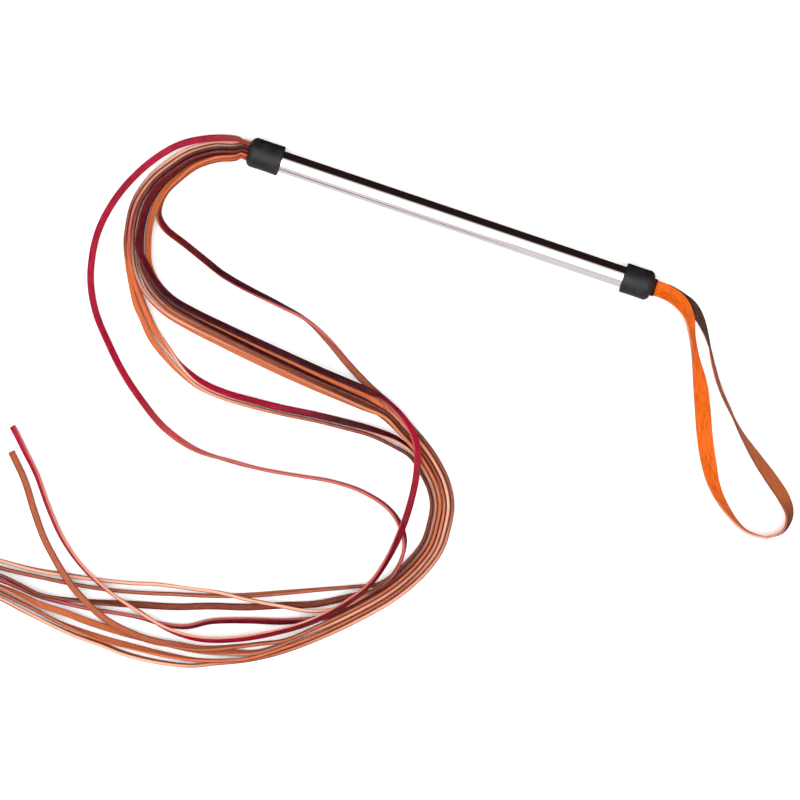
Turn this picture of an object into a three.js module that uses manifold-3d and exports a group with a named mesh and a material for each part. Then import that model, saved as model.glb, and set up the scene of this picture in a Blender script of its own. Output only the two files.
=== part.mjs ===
// A whip with nine leather thongs: a steel tube handle with a black ferrule pushed on each end.
// The thongs come out of the head ferrule and a leather wrist strap out of the heel ferrule.
// Millimetres, +Z up. The handle lies along X on the surface z = 0, its middle over the origin,
// the head (thongs) towards -X and the heel (strap) towards +X.
import * as THREE from 'three';
import { mergeVertices } from 'three/addons/utils/BufferGeometryUtils.js';
import Module from 'manifold-3d';

// ---- driving dimensions ----
const HANDLE_LENGTH = 318; // over both ferrules
const TUBE_DIAMETER = 16;
const TUBE_WALL = 1;
const FERRULE_DIAMETER = 22.5;
const FERRULE_LENGTH = 25;
const FERRULE_END_WALL = 3;
const FERRULE_END_ROUND = 3;
const FERRULE_LIP_ROUND = 1;
const HEAD_CHAMBER_LENGTH = 8; // room for the thongs' ends between end wall and tube
const HEEL_DOME_HEIGHT = 2.5; // the heel ferrule's end is slightly domed
const THONG_WIDTH = 5.2;
const THONG_THICKNESS = 2.5;
const THONG_LENGTH = 870; // free length outside the ferrule, before each is trimmed
const STRAP_WIDTH = 12;
const STRAP_THICKNESS = 1.8;
const PLUG_LENGTH = 18;
const PLUG_HEAD = 2; // the plugs' part in front of the tube's mouth
const TONGUE_LENGTH = 14; // the heel plug's tongue, between the strap's two ends
const TONGUE_THICKNESS = 1.6;
const RIVET_DIAMETER = 3;
const RIVET_HEAD_DIAMETER = 6;
const RIVET_HEAD_HEIGHT = 0.7;

// ---- clearances ----
const TOUCH = 0.3; // between pieces that touch
const LAY = 0.5; // between laces that lie on each other
const LAY_BESIDE = 0.2; // the least between laces that lie side by side
const HOLE_EASE = 0.4; // around what passes through a ferrule's mouth

// ---- derived places ----
const FACETS = 48; // around each turned piece, with one facet flat on the surface
const FERRULE_RADIUS = FERRULE_DIAMETER / 2;
const AXIS_Z = FERRULE_RADIUS * Math.cos(Math.PI / FACETS);
const HEAD_X = -HANDLE_LENGTH / 2;
const HEEL_X = HANDLE_LENGTH / 2;
const TUBE_RADIUS = TUBE_DIAMETER / 2;
const BORE_RADIUS = TUBE_RADIUS - TUBE_WALL;
const SEAT_RADIUS = TUBE_RADIUS + TOUCH;
const TUBE_HEAD_X = HEAD_X + FERRULE_END_WALL + HEAD_CHAMBER_LENGTH;
const TUBE_HEEL_X = HEEL_X - FERRULE_END_WALL - HEEL_DOME_HEIGHT - TOUCH;
const ROW_PITCH = THONG_WIDTH + LAY;
const COLUMN_PITCH = THONG_THICKNESS + LAY;
const STACK_WIDTH = 5 * THONG_THICKNESS + 4 * LAY;
const STACK_HEIGHT = 2 * THONG_WIDTH + LAY;
const CHAMBER_RADIUS = Math.hypot(STACK_WIDTH, STACK_HEIGHT) / 2 + HOLE_EASE;

// ---- the thongs' bundle: its inner edge from the mouth to the foot, on which lanes are counted ----
// The points of the bundle, the thongs and the strap are measured from the middle of their mouth.
const BUNDLE_EDGE = [
  [-8, -11], [-20, -16], [-32, -25], [-40, -36], [-47, -49], [-50, -63], [-49, -78],
  [-45, -92], [-40, -103], [-30, -112], [-16, -119], [3, -123], [25, -126], [49, -129],
  [75, -132], [102, -135], [124, -137], [144, -139], [163, -145], [180, -154], [196, -163],
  [210, -174], [221, -186], [229, -201], [232, -219], [232, -236], [227, -253], [219, -269],
  [208, -285], [193, -302], [176, -319], [158, -335], [140, -349], [120, -361], [98, -371],
];
const LANE = THONG_THICKNESS + 3 * LAY_BESIDE; // from one thong on its edge to the next

// The points of a thong that runs in the bundle, from one point of its edge to another, while its
// lane and its roll change evenly.
function lane(from, to, [lane0, lane1], [roll0, roll1]) {
  return Array.from({ length: to - from + 1 }, (_, i) => {
    const part = to > from ? i / (to - from) : 0;
    const [ax, ay] = BUNDLE_EDGE[Math.max(from + i - 1, 0)];
    const [bx, by] = BUNDLE_EDGE[Math.min(from + i + 1, BUNDLE_EDGE.length - 1)];
    const offset = ((lane0 + (lane1 - lane0) * part + 0.5) * LANE) / Math.hypot(bx - ax, by - ay);
    const [x, y] = BUNDLE_EDGE[from + i];
    return [x + (by - ay) * offset, y - (bx - ax) * offset, roll0 + (roll1 - roll0) * part];
  });
}

// ---- the nine thongs, from the lowest in the pile to the highest ----
// Each point is [x, y, roll in degrees]: 0 has the crimson grain side up, 90 has a cut edge up,
// 180 has the tan flesh side up.
const THONG_ROUTES = [
  [ // leaves the bundle at its inner edge, comes back outside it and ends outermost
    ...lane(0, 4, [0, 0], [90, 90]),
    [-50, -60, 84], [-48, -68, 55], [-40, -75, 20], [-23, -81, 10], [-4, -88, 12],
    [10, -93, 20], [29, -97, 30], [57, -101, 60], [79, -105, 90], [99, -114, 130], [121, -127, 170],
    [142, -138, 175],
    ...lane(18, 19, [0, 0], [140, 110]),
    ...lane(20, 34, [0, 0], [90, 90]),
    [80, -377, 95], [56, -382, 105], [33, -384, 110], [13, -383, 110], [-6, -383, 100],
    [-28, -381, 90], [-50, -378, 80], [-69, -375, 80], [-91, -374, 90], [-117, -373, 90],
    [-146, -373, 90],
  ],
  [ // lies flat under its neighbours round the far bend and comes out in the middle group
    ...lane(0, 5, [2, 3], [90, 90]),
    ...lane(6, 8, [3, 3], [90, 90]),
    ...lane(9, 17, [3.4, 3.4], [115, 145]),
    ...lane(18, 22, [3, 1.6], [150, 180]),
    ...lane(23, 28, [1.6, 3.6], [180, 180]),
    [173, -305, 150], [156, -314, 90], [137, -323, 40], [111, -331, 40], [86, -340, 50],
    [69, -350, 60], [52, -354, 70], [33, -355, 80], [12, -358, 90], [-6, -361, 90],
    [-26, -363, 80], [-43, -364, 80], [-57, -363, 80], [-71, -362, 80], [-95, -361, 80],
    [-122, -361, 80],
  ],
  [ // the outer of the two that part from the bundle and rejoin it at its inner side
    ...lane(0, 5, [4, 6], [90, 90]),
    ...lane(6, 7, [6, 6], [90, 110]),
    [-46, -131, 150], [-36, -143, 155], [-25, -155, 150], [-12, -164, 140], [4, -172.5, 120],
    [20, -178.5, 100], [39, -180.5, 90], [61, -179.7, 90], [85, -177.5, 90], [109, -174.5, 90],
    [133, -172.5, 90], [154, -171.5, 90], [174, -174, 90],
    ...lane(20, 27, [5, 5], [90, 90]),
    [194, -274, 90], [175, -283, 90], [152, -293, 100], [129, -303, 110],
    [103, -314, 110], [77, -323, 100], [53, -330, 95], [29, -337, 90], [4, -343, 90],
    [-20, -347, 90], [-44, -350, 90], [-74, -353, 90], [-97, -353, 90], [-125, -353, 90],
  ],
  [ // stays in the bundle to its foot, tan side up beyond it
    ...lane(0, 5, [1, 2], [90, 90]),
    ...lane(6, 8, [2, 2], [90, 90]),
    ...lane(9, 13, [2.3, 2.4], [80, 45]),
    ...lane(14, 17, [2.4, 2.5], [45, 75]),
    ...lane(18, 31, [2, 2], [90, 90]),
    [127, -350, 110], [105, -358, 140], [82, -364, 170], [58, -367, 175], [36, -369, 175],
    [16, -370, 170], [-2, -370, 165], [-20, -369, 165], [-39, -369, 160], [-56, -367, 130],
    [-69, -366, 110], [-93, -365, 100], [-120, -364, 100],
  ],
  [ // the inner of the two that part from the bundle, broad and crimson where it comes back
    ...lane(0, 5, [3, 5], [90, 90]),
    ...lane(6, 7, [5, 5], [90, 110]),
    [-53, -114, 150], [-44, -126, 140], [-33, -139, 150], [-22, -150, 140], [-9, -159, 110],
    [5, -168, 70], [21, -174, 30], [40, -176, 15], [62, -175, 10], [85, -173, 5],
    [109, -170, 0], [132, -168, 5], [153, -167, 20], [173, -168, 50],
    ...lane(20, 28, [4, 4], [90, 95]),
    [178, -289, 130], [155, -303, 160], [132, -312, 175],
    [107, -322, 180], [81, -330, 180], [56, -339, 175], [30, -346, 165], [4, -353, 120],
    [-22, -359, 95], [-42, -362, 80], [-58, -360, 70], [-72, -358, 80], [-96, -357, 90],
    [-124, -356, 90],
  ],
  [ // broad and tan side up along the bundle's inner edge
    ...lane(0, 5, [0.5, 0.4], [90, 150]),
    ...lane(6, 8, [0.4, 0.5], [150, 150]),
    ...lane(9, 17, [0.8, 1.2], [150, 180]),
    ...lane(18, 31, [1, 1], [90, 90]),
    [124, -355, 90], [105, -364, 90], [83, -371, 100], [59, -375, 120], [32, -377, 140],
    [14, -378, 150], [-5, -378, 120], [-24, -377, 90], [-45, -374, 85], [-68, -371, 90],
    [-92, -369, 90], [-120, -369, 90], [-146, -369, 90],
  ],
  [ // swings out on its own beside the bundle, crimson side up
    [-13, 5, 60], [-33, -2, 20], [-51, -13, 10], [-66, -30, 0], [-78, -51, 0],
    [-85, -71, 0], [-88, -92, 0], [-86, -113, 0], [-80, -133, 0], [-69, -152, 10],
    [-54, -169, 20], [-38, -185, 20], [-19, -200, 10], [5, -215, 20], [32, -223, 60],
    [59, -223, 100], [86, -221, 90], [112, -217, 90], [137, -213, 85], [161, -213, 80],
    [184, -219, 70], [199, -232, 60], [204, -247, 90], [201, -266, 100], [188, -284, 95],
    [173, -299, 90], [153, -309, 85], [129, -313, 90], [105, -316, 95], [83, -318, 90],
    [63, -322, 85], [39, -327, 90], [18, -333, 90], [-4, -338, 90], [-26, -342, 100],
    [-50, -346, 100], [-76, -348, 90], [-99, -348, 90], [-127, -348, 90],
  ],
  [ // tan side up where its end turns up across the others
    ...lane(0, 5, [2.5, 4], [90, 90]),
    ...lane(6, 8, [4, 4], [90, 90]),
    ...lane(9, 13, [4.6, 4.7], [100, 145]),
    ...lane(14, 17, [4.7, 4.4], [145, 105]),
    ...lane(18, 30, [3, 3], [90, 90]),
    [144, -334, 95], [125, -344, 100], [108, -352, 105], [86, -361, 120], [66, -365, 145],
    [47, -368, 165], [28, -367, 170], [9, -363, 180], [-9, -355, 185], [-24, -346, 185],
    [-39, -334, 180], [-53, -321, 175], [-67, -304, 170], [-81, -285, 165], [-98, -267, 160],
    [-114, -247, 160],
  ],
  [ // on top: crosses the bundle at the far bend, and its end turns up across the others
    ...lane(0, 3, [1.5, 2], [90, 80]),
    ...lane(4, 7, [2.2, 2.5], [50, 20]),
    ...lane(8, 17, [1, 0.1], [30, 10]),
    [155, -143, 50], [173, -152, 40], [187, -166, 20], [194, -186, 0], [197, -209, 0],
    [197, -232, 20], [194, -255, 50], [187, -277, 60], [172, -299, 40], [153, -318, 40],
    [130, -334, 40], [106, -347, 45], [82, -355, 50], [57, -356, 70], [31, -350, 95],
    [5, -343, 80], [-19, -332, 68], [-40, -317, 62], [-57, -299, 58], [-73, -279, 55],
    [-86, -266, 50], [-98, -254, 40], [-108, -245, 40],
  ],
];

// Where each thong leaves the mouth, on their edges, five in the lower row and four above them, and
// how much longer than THONG_LENGTH it was cut: [column, row, extra].
const THONG_PLACES = [
  [-2, -0.5, 0], [0, -0.5, 0], [2, -0.5, 0], [-1, -0.5, 0], [1, -0.5, 0],
  [-1.5, 0.5, 0], [1.5, 0.5, 0], [0.5, 0.5, 24], [-0.5, 0.5, -14],
];

// ---- the wrist strap: two runs from the mouth to the far turn, the lower run first ----
// A roll of 0 has the orange flesh side up and 180 the dark grain side.
const STRAP_LOWER_RUN = [
  [11, 0, -172], [21, -2, -160], [31, -5, -142], [41, -13, -120], [51, -26, -98],
  [60, -41, -90], [70, -55, -90], [82, -68, -92], [96, -82, -105], [112, -95, -128],
  [127, -106, -142], [141, -117, -140], [149, -128, -120], [148, -141, -100], [137, -150, -90],
];
const STRAP_UPPER_RUN = [
  [11, -1, 8], [21, -5, 22], [30, -13, 46], [37, -26, 66], [45, -41, 60],
  [54, -57, 28], [62, -74, 4], [70, -92, 2], [79, -109, 14], [90, -126, 44],
  [105, -140, 66], [121, -149, 82], [137, -150, 90],
];

// ---- booleans ----
const wasm = await Module();
wasm.setup();

function toSolid(geometry) {
  const bare = new THREE.BufferGeometry();
  bare.setAttribute('position', geometry.getAttribute('position'));
  if (geometry.index) {
    bare.setIndex(geometry.index);
  }
  const merged = mergeVertices(bare, 1e-4);
  const mesh = new wasm.Mesh({
    numProp: 3,
    vertProperties: new Float32Array(merged.getAttribute('position').array),
    triVerts: new Uint32Array(merged.index.array),
  });
  return new wasm.Manifold(mesh);
}

function toGeometry(solid) {
  const mesh = solid.getMesh();
  const geometry = new THREE.BufferGeometry();
  geometry.setAttribute('position', new THREE.BufferAttribute(mesh.vertProperties, 3));
  geometry.setIndex(new THREE.BufferAttribute(mesh.triVerts, 1));
  const loose = geometry.toNonIndexed();
  loose.computeVertexNormals();
  return loose;
}

// ---- shapes ----
// A turned piece on the handle's axis: each profile point is [x along the axis, radius].
function turned(profile) {
  const points = profile.map(([x, radius]) => new THREE.Vector2(radius, x));
  const geometry = new THREE.LatheGeometry(points, FACETS, Math.PI / FACETS);
  geometry.rotateZ(-Math.PI / 2);
  geometry.translate(0, 0, AXIS_Z);
  return geometry;
}

// The outline points of a quarter round from angle a to b about (x, radius).
function roundCorner(x, radius, size, a, b, steps = 5) {
  return Array.from({ length: steps + 1 }, (_, i) => {
    const angle = a + ((b - a) * i) / steps;
    return [x + size * Math.cos(angle), radius + size * Math.sin(angle)];
  });
}

// A rectangle across X, centred on the axis, `wide` along Y and `tall` along Z, from x0 to x1.
function bar(x0, x1, wide, tall, y = 0, z = 0) {
  const geometry = new THREE.BoxGeometry(x1 - x0, wide, tall);
  geometry.translate((x0 + x1) / 2, y, AXIS_Z + z);
  return geometry;
}

// A lace's cross-section: thickness along x, width along y, its corners taken off.
function laceSection(width, thickness) {
  const cut = thickness * 0.2;
  const [x, y] = [thickness / 2, width / 2];
  return new THREE.Shape([
    new THREE.Vector2(x, -y + cut),
    new THREE.Vector2(x, y - cut),
    new THREE.Vector2(x - cut, y),
    new THREE.Vector2(-x + cut, y),
    new THREE.Vector2(-x, y - cut),
    new THREE.Vector2(-x, -y + cut),
    new THREE.Vector2(-x + cut, -y),
    new THREE.Vector2(x - cut, -y),
  ]);
}

// A path of evenly spaced samples, each [x, y, z, roll in degrees], whose frames turn with the roll.
class LacePath extends THREE.Curve {
  constructor(samples) {
    super();
    this.samples = samples;
  }

  at(t) {
    const place = Math.min(Math.max(t, 0), 1) * (this.samples.length - 1);
    const first = Math.min(Math.floor(place), this.samples.length - 2);
    const part = place - first;
    return this.samples[first].map((v, i) => v + (this.samples[first + 1][i] - v) * part);
  }

  getPoint(t, target = new THREE.Vector3()) {
    const [x, y, z] = this.at(t);
    return target.set(x, y, z);
  }

  computeFrenetFrames(segments) {
    const frames = { tangents: [], normals: [], binormals: [] };
    const up = new THREE.Vector3(0, 0, 1);
    for (let i = 0; i <= segments; i++) {
      const t = i / segments;
      const tangent = this.getPoint(Math.min(t + 0.004, 1)).sub(this.getPoint(Math.max(t - 0.004, 0)));
      tangent.normalize();
      const side = new THREE.Vector3().crossVectors(tangent, up).normalize();
      const above = new THREE.Vector3().crossVectors(side, tangent);
      const roll = THREE.MathUtils.degToRad(this.at(t)[3]);
      const normal = above.clone().multiplyScalar(Math.cos(roll)).addScaledVector(side, -Math.sin(roll));
      frames.tangents.push(tangent);
      frames.normals.push(normal);
      frames.binormals.push(new THREE.Vector3().crossVectors(tangent, normal));
    }
    return frames;
  }
}

// ---- laying laces on the surface and on each other ----
const SAMPLE = 2.5; // spacing of the samples along a lace
const STRAIGHT_OUT = 5; // how far a lace comes straight out of its mouth
const DROP_LENGTH = 95; // how far it takes to reach the surface
const STEEPEST = 0.16; // rise of a lace over another, per unit of length
const EASE_SAMPLES = 5; // samples each way that soften a hump

// The first points of a run that comes straight out of its mouth, towards `way` along X.
function straightOut(way, y, roll) {
  return [0, 0.4, 1].map((part) => [way * (TOUCH + STRAIGHT_OUT * part), y, roll]);
}

// A run's points, from its mouth's middle to the part's frame.
const fromMouth = (mouthX, points) => points.map(([x, y, roll]) => [mouthX + x, y, roll]);

// Samples a route in plan, evenly along its length: [x, y, roll].
function planSamples(points, length = Infinity) {
  const curve = new THREE.CatmullRomCurve3(
    points.map(([x, y, roll]) => new THREE.Vector3(x, y, roll)), false, 'catmullrom', 0.5);
  const fine = curve.getPoints(points.length * 24);
  const samples = [];
  let along = 0;
  for (let i = 1; i < fine.length && samples.length * SAMPLE <= length; i++) {
    const [a, b] = [fine[i - 1], fine[i]];
    const step = Math.hypot(b.x - a.x, b.y - a.y);
    while (samples.length * SAMPLE <= along + step && samples.length * SAMPLE <= length) {
      const part = (samples.length * SAMPLE - along) / step;
      samples.push([a.x + (b.x - a.x) * part, a.y + (b.y - a.y) * part, a.z + (b.z - a.z) * part]);
    }
    along += step;
  }
  return samples;
}

// A smooth 0 to 1 between a and b.
function ease(value, a, b) {
  const t = Math.min(Math.max((value - a) / (b - a), 0), 1);
  return t * t * (3 - 2 * t);
}

// Gives each run its heights. Runs come lowest first, and each clears all before it.
function layRuns(runs, width, thickness) {
  const laid = [];
  for (const { points, length, exitZ } of runs) {
    const run = planSamples(points, length).map(([x, y, roll], i) => {
      const turn = THREE.MathUtils.degToRad(roll);
      const [c, s] = [Math.abs(Math.cos(turn)), Math.abs(Math.sin(turn))];
      const tall = width * s + thickness * c;
      const hang = exitZ + (tall / 2 - exitZ) * ease(i * SAMPLE, STRAIGHT_OUT, DROP_LENGTH);
      return { x, y, roll, tall, wide: width * c + thickness * s, z: Math.max(hang, tall / 2) };
    });
    for (const here of run) {
      for (const other of laid) {
        for (const there of other) {
          const apart = Math.hypot(here.x - there.x, here.y - there.y);
          if (apart < (here.wide + there.wide) / 2 + LAY_BESIDE) {
            here.z = Math.max(here.z, there.z + (here.tall + there.tall) / 2 + LAY);
          }
        }
      }
    }
    const needed = run.map((here) => here.z);
    const rise = STEEPEST * SAMPLE;
    for (let i = 1; i < needed.length; i++) {
      needed[i] = Math.max(needed[i], needed[i - 1] - rise);
    }
    for (let i = needed.length - 2; i >= 0; i--) {
      needed[i] = Math.max(needed[i], needed[i + 1] - rise);
    }
    const highest = needed.map((_, i) => Math.max(
      ...needed.slice(Math.max(i - EASE_SAMPLES, 0), i + EASE_SAMPLES + 1)));
    run.forEach((here, i) => {
      const near = highest.slice(Math.max(i - EASE_SAMPLES, 0), i + EASE_SAMPLES + 1);
      const mean = near.reduce((sum, z) => sum + z, 0) / near.length;
      const out = ease(i * SAMPLE, STRAIGHT_OUT, 3 * STRAIGHT_OUT);
      here.z = exitZ + (mean - exitZ) * out;
    });
    laid.push(run);
  }
  return laid.map((run) => run.map(({ x, y, z, roll }) => [x, y, z, roll]));
}

function laceGeometry(samples, width, thickness, steps) {
  return new THREE.ExtrudeGeometry(laceSection(width, thickness), {
    steps,
    extrudePath: new LacePath(samples),
    bevelEnabled: false,
  });
}

// ---- materials ----
const finish = (color, roughness, metalness = 0) =>
  new THREE.MeshStandardMaterial({ color, roughness, metalness });
const CHROME = { color: '#d9dadb', roughness: 0.12, metalness: 1 };
const RUBBER = { color: '#2b2b2c', roughness: 0.62, metalness: 0 };
const LEATHER = { color: '#a34a35', roughness: 0.6, metalness: 0 };
const ORANGE_LEATHER = { color: '#e0761c', roughness: 0.75, metalness: 0 };
const BEECH = { color: '#c9a477', roughness: 0.7, metalness: 0 };
const COPPER = { color: '#b87452', roughness: 0.35, metalness: 1 };

const whip = new THREE.Group();
function add(name, geometry, { color, roughness, metalness }) {
  const mesh = new THREE.Mesh(geometry, finish(color, roughness, metalness));
  mesh.name = name;
  whip.add(mesh);
}

// ---- the handle tube: a plain steel tube, its ends inside the ferrules ----
add('handle_tube', turned([
  [TUBE_HEAD_X, BORE_RADIUS],
  [TUBE_HEAD_X, TUBE_RADIUS],
  [TUBE_HEEL_X, TUBE_RADIUS],
  [TUBE_HEEL_X, BORE_RADIUS],
  [TUBE_HEAD_X, BORE_RADIUS],
]), CHROME);

// ---- the head ferrule: open towards the tube, with a slot for the nine thongs in its end wall ----
function headFerrule() {
  const lip = HEAD_X + FERRULE_LENGTH;
  const wall = HEAD_X + FERRULE_END_WALL;
  const shoulder = TUBE_HEAD_X - TOUCH;
  const shell = turned([
    [HEAD_X, 0],
    ...roundCorner(HEAD_X + FERRULE_END_ROUND, FERRULE_RADIUS - FERRULE_END_ROUND,
      FERRULE_END_ROUND, Math.PI, Math.PI / 2),
    ...roundCorner(lip - FERRULE_LIP_ROUND, FERRULE_RADIUS - FERRULE_LIP_ROUND,
      FERRULE_LIP_ROUND, Math.PI / 2, 0, 3),
    [lip, SEAT_RADIUS],
    [shoulder, SEAT_RADIUS],
    [shoulder, CHAMBER_RADIUS],
    [wall, CHAMBER_RADIUS],
    [wall, 0],
  ]);
  const slot = bar(HEAD_X - 1, wall + 1, STACK_WIDTH + 2 * HOLE_EASE, STACK_HEIGHT + 2 * HOLE_EASE);
  return toGeometry(toSolid(shell).subtract(toSolid(slot)));
}
add('head_ferrule', headFerrule(), RUBBER);

// ---- the heel ferrule: the same, domed, with a slot for the strap ----
function heelFerrule() {
  const lip = HEEL_X - FERRULE_LENGTH;
  const wall = TUBE_HEEL_X + TOUCH;
  const shoulder = HEEL_X - HEEL_DOME_HEIGHT;
  const flat = FERRULE_RADIUS - FERRULE_END_ROUND;
  const dome = Array.from({ length: 5 }, (_, i) => {
    const part = i / 5;
    return [HEEL_X - HEEL_DOME_HEIGHT * part * part, flat * part];
  });
  const shell = turned([
    [wall, 0],
    [wall, SEAT_RADIUS],
    [lip, SEAT_RADIUS],
    ...roundCorner(lip + FERRULE_LIP_ROUND, FERRULE_RADIUS - FERRULE_LIP_ROUND,
      FERRULE_LIP_ROUND, Math.PI, Math.PI / 2, 3),
    ...roundCorner(shoulder - FERRULE_END_ROUND, FERRULE_RADIUS - FERRULE_END_ROUND,
      FERRULE_END_ROUND, Math.PI / 2, 0),
    ...dome.slice(1).reverse(),
    [HEEL_X, 0],
  ]);
  const slot = bar(wall - 1, HEEL_X + 1, STRAP_WIDTH + 2 * HOLE_EASE,
    2 * STRAP_THICKNESS + TOUCH + 2 * HOLE_EASE);
  return toGeometry(toSolid(shell).subtract(toSolid(slot)));
}
add('heel_ferrule', heelFerrule(), RUBBER);

// ---- the head plug: a wooden plug in the tube's mouth, with the thongs' ends against it ----
const HEAD_PLUG_FACE = TUBE_HEAD_X - PLUG_HEAD;
add('head_plug', turned([
  [HEAD_PLUG_FACE, 0],
  [HEAD_PLUG_FACE, BORE_RADIUS - TOUCH],
  [HEAD_PLUG_FACE + PLUG_LENGTH, BORE_RADIUS - TOUCH],
  [HEAD_PLUG_FACE + PLUG_LENGTH, 0],
]), BEECH);

// ---- the thongs' ends inside the head ferrule, on their edges in two rows ----
const ROOT_END = HEAD_PLUG_FACE - TOUCH;
THONG_PLACES.forEach(([column, row], i) => {
  const root = bar(HEAD_X, ROOT_END, THONG_THICKNESS, THONG_WIDTH,
    column * COLUMN_PITCH, row * ROW_PITCH);
  add(`thong_root_${i + 1}`, root, LEATHER);
});

// ---- the heel plug: a wooden plug with a tongue between the strap's two ends ----
const TAIL_IN = TUBE_HEEL_X - TONGUE_LENGTH;
const RIVET_X = (TAIL_IN + TUBE_HEEL_X) / 2;
const TAIL_Z = STRAP_THICKNESS / 2 + TOUCH / 2;
const INNER_TAIL_Z = TONGUE_THICKNESS / 2 + TOUCH + STRAP_THICKNESS / 2;
const TAIL_WIDTH = Math.min( // the tails are pared where the bore is narrower than the strap
  STRAP_WIDTH, 2 * Math.sqrt((BORE_RADIUS - TOUCH) ** 2 - (INNER_TAIL_Z + STRAP_THICKNESS / 2) ** 2));
function rod(radius, z0, z1) {
  const geometry = new THREE.CylinderGeometry(radius, radius, z1 - z0, 16);
  geometry.rotateX(Math.PI / 2);
  geometry.translate(RIVET_X, 0, AXIS_Z + (z0 + z1) / 2);
  return geometry;
}

function heelPlug() {
  const shoulder = TAIL_IN - TOUCH;
  const body = turned([
    [shoulder - PLUG_LENGTH, 0],
    [shoulder - PLUG_LENGTH, BORE_RADIUS - TOUCH],
    [shoulder, BORE_RADIUS - TOUCH],
    [shoulder, 0],
  ]);
  const tongue = bar(shoulder - 1, TUBE_HEEL_X - PLUG_HEAD, TAIL_WIDTH, TONGUE_THICKNESS);
  const hole = rod(RIVET_DIAMETER / 2 + TOUCH, -TUBE_RADIUS, TUBE_RADIUS);
  return toGeometry(toSolid(body).add(toSolid(tongue)).subtract(toSolid(hole)));
}
add('heel_plug', heelPlug(), BEECH);

// ---- the strap's tails: apart on the tongue inside the tube, together in the ferrule's slot ----
function strapTail(sign) {
  const bendIn = TUBE_HEEL_X - PLUG_HEAD;
  const bendOut = TUBE_HEEL_X + TOUCH;
  const half = STRAP_THICKNESS / 2;
  const outline = new THREE.Shape([
    new THREE.Vector2(TAIL_IN, INNER_TAIL_Z - half),
    new THREE.Vector2(bendIn, INNER_TAIL_Z - half),
    new THREE.Vector2(bendOut, TAIL_Z - half),
    new THREE.Vector2(HEEL_X, TAIL_Z - half),
    new THREE.Vector2(HEEL_X, TAIL_Z + half),
    new THREE.Vector2(bendOut, TAIL_Z + half),
    new THREE.Vector2(bendIn, INNER_TAIL_Z + half),
    new THREE.Vector2(TAIL_IN, INNER_TAIL_Z + half),
  ]);
  const geometry = new THREE.ExtrudeGeometry(outline, { depth: TAIL_WIDTH, bevelEnabled: false });
  geometry.translate(0, 0, -TAIL_WIDTH / 2);
  geometry.rotateX(sign * (Math.PI / 2));
  geometry.translate(0, 0, AXIS_Z);
  const hole = rod(RIVET_DIAMETER / 2 + TOUCH, -TUBE_RADIUS, TUBE_RADIUS);
  return toGeometry(toSolid(geometry).subtract(toSolid(hole)));
}
add('strap_tail_upper', strapTail(1), ORANGE_LEATHER);
add('strap_tail_lower', strapTail(-1), ORANGE_LEATHER);

// ---- the rivet through both tails and the tongue ----
function strapRivet() {
  const grip = INNER_TAIL_Z + STRAP_THICKNESS / 2 + TOUCH;
  const reach = grip + RIVET_HEAD_HEIGHT / 2;
  const shank = toSolid(rod(RIVET_DIAMETER / 2, -reach, reach));
  const top = toSolid(rod(RIVET_HEAD_DIAMETER / 2, grip, grip + RIVET_HEAD_HEIGHT));
  const bottom = toSolid(rod(RIVET_HEAD_DIAMETER / 2, -grip - RIVET_HEAD_HEIGHT, -grip));
  return toGeometry(shank.add(top).add(bottom));
}
add('strap_rivet', strapRivet(), COPPER);

// ---- the nine thongs ----
const THONG_STEPS = 76;
const thongRuns = THONG_ROUTES.map((route, i) => {
  const [column, row, extra] = THONG_PLACES[i];
  const y = column * COLUMN_PITCH;
  return {
    points: fromMouth(HEAD_X, [...straightOut(-1, y, 90), ...route]),
    length: THONG_LENGTH + extra,
    exitZ: AXIS_Z + row * ROW_PITCH,
  };
});
layRuns(thongRuns, THONG_WIDTH, THONG_THICKNESS).forEach((samples, i) => {
  const geometry = laceGeometry(samples, THONG_WIDTH, THONG_THICKNESS, THONG_STEPS);
  add(`thong_${i + 1}`, geometry, LEATHER);
});

// ---- the wrist strap: one loop, its two ends face to face with the tails ----
const STRAP_STEPS = 84;
const strapPoints = (roll, run) => fromMouth(HEEL_X, [...straightOut(1, 0, roll), ...run]);
const [lowerRun, upperRun] = layRuns([
  { points: strapPoints(-180, STRAP_LOWER_RUN), exitZ: AXIS_Z - TAIL_Z },
  { points: strapPoints(0, STRAP_UPPER_RUN), exitZ: AXIS_Z + TAIL_Z },
], STRAP_WIDTH, STRAP_THICKNESS);
const back = lowerRun.reverse().map(([x, y, z, roll]) => [x, y, z, -roll]);
add('wrist_strap', laceGeometry([...upperRun, ...back], STRAP_WIDTH, STRAP_THICKNESS, STRAP_STEPS),
  ORANGE_LEATHER);

export default whip;
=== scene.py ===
# A whip with nine leather thongs on a steel tube handle, with a black ferrule pushed on each end and
# a leather wrist strap. Metres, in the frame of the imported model: the handle lies along X.
import math

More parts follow.
